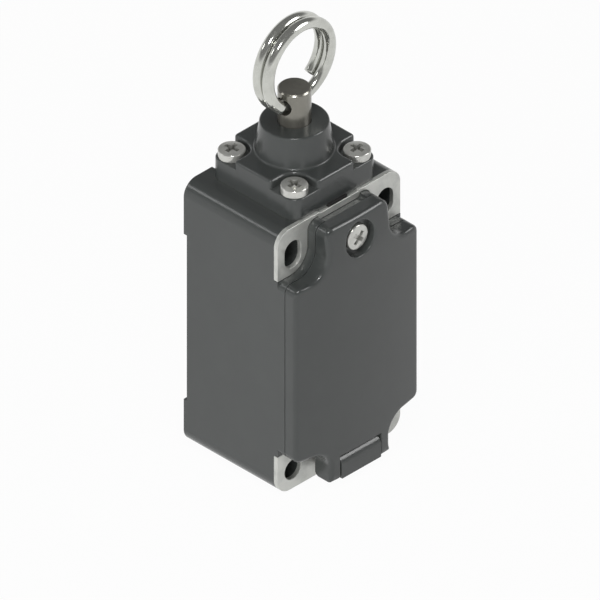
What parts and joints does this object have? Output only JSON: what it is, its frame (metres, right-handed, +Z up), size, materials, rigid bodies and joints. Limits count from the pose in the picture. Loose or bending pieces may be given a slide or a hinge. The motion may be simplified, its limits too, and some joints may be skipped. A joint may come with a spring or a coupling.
{
  "type": "rope pull switch",
  "caption": "Position switch in a plastic housing with a sprung pull rod and a split ring for a pull rope, a hinged front cover, steel fixing plates and a bottom cable entry.",
  "frame": {"origin": "where the axis of the rod and of the cable entry meets the bottom face of the housing", "axes": "+X across the front to the right, +Y back to the mounting face, -Y out of the cover, +Z up along the rod to the pull ring"},
  "size_m": [0.04, 0.038, 0.1169],
  "materials": {
    "housing_plastic": "moulded glass-filled plastic, satin",
    "plate_steel": "bare rolled steel",
    "screw_steel": "nickel-plated",
    "ring_steel": "polished stainless wire",
    "rod_steel": "turned, dark",
    "spring_steel": "drawn wire",
    "seal_rubber": "moulded rubber",
    "brass": "turned or stamped",
    "block_plastic": "moulded",
    "plunger_plastic": "moulded"
  },
  "bodies": {
    "housing": {"body_housing": "housing_plastic", "top_fixing_plate": "plate_steel", "bottom_fixing_plate": "plate_steel", "cover_screw_insert": "brass", "head_housing": "housing_plastic", "head_gasket": "seal_rubber", "head_screws": "screw_steel", "guide_bush": "brass", "wiper_seal": "seal_rubber", "return_spring": "spring_steel", "contact_block_base": "block_plastic", "contact_block_lid": "block_plastic", "plunger_spring": "spring_steel", "fixed_contacts": "brass", "terminal_clamps": "plate_steel", "terminal_screws": "screw_steel", "block_screws": "screw_steel"},
    "cover": {"cover": "housing_plastic", "cover_gasket": "seal_rubber", "hinge_pin": "screw_steel"},
    "cover_screw": {"cover_screw": "screw_steel"},
    "spring_seat": {"spring_seat": "spring_steel"},
    "pull_rod": {"pull_rod": "rod_steel", "rod_retaining_ring": "spring_steel"},
    "pull_ring": {"pull_ring": "ring_steel"},
    "contact_plunger": {"contact_plunger": "plunger_plastic", "contact_bridges": "brass", "bridge_springs": "spring_steel"}
  },
  "joints": [
    {"name": "rope_pull", "type": "slide", "parent": "housing", "child": "spring_seat", "axis": [0, 0, 1], "range_m": [0, 0.004], "stiffness_N_per_m": 2500, "springref_m": -0.004, "deforming": ["return_spring"]},
    {"name": "rod_swivel", "type": "hinge", "parent": "spring_seat", "child": "pull_rod", "pos_m": [0, 0, 0.073], "axis": [0, 0, 1], "continuous": true},
    {"name": "ring_swing", "type": "hinge", "parent": "pull_rod", "child": "pull_ring", "pos_m": [0, 0, 0.0942], "axis": [1, 0, 0], "range_deg": [-90, 90]},
    {"name": "plunger_slide", "type": "slide", "parent": "housing", "child": "contact_plunger", "axis": [0, 0, 1], "range_m": [0, 0.004], "deforming": ["plunger_spring"]},
    {"name": "cover_hinge", "type": "hinge", "parent": "housing", "child": "cover", "pos_m": [0, -0.0187, 0.0047], "axis": [1, 0, 0], "range_deg": [0, 95]},
    {"name": "cover_screw_release", "type": "slide", "parent": "cover", "child": "cover_screw", "axis": [0, -1, 0], "range_m": [0, 0.0035]}
  ],
  "couplings": [
    {"joint": "plunger_slide", "follows": "rope_pull", "ratio": 1}
  ]
}
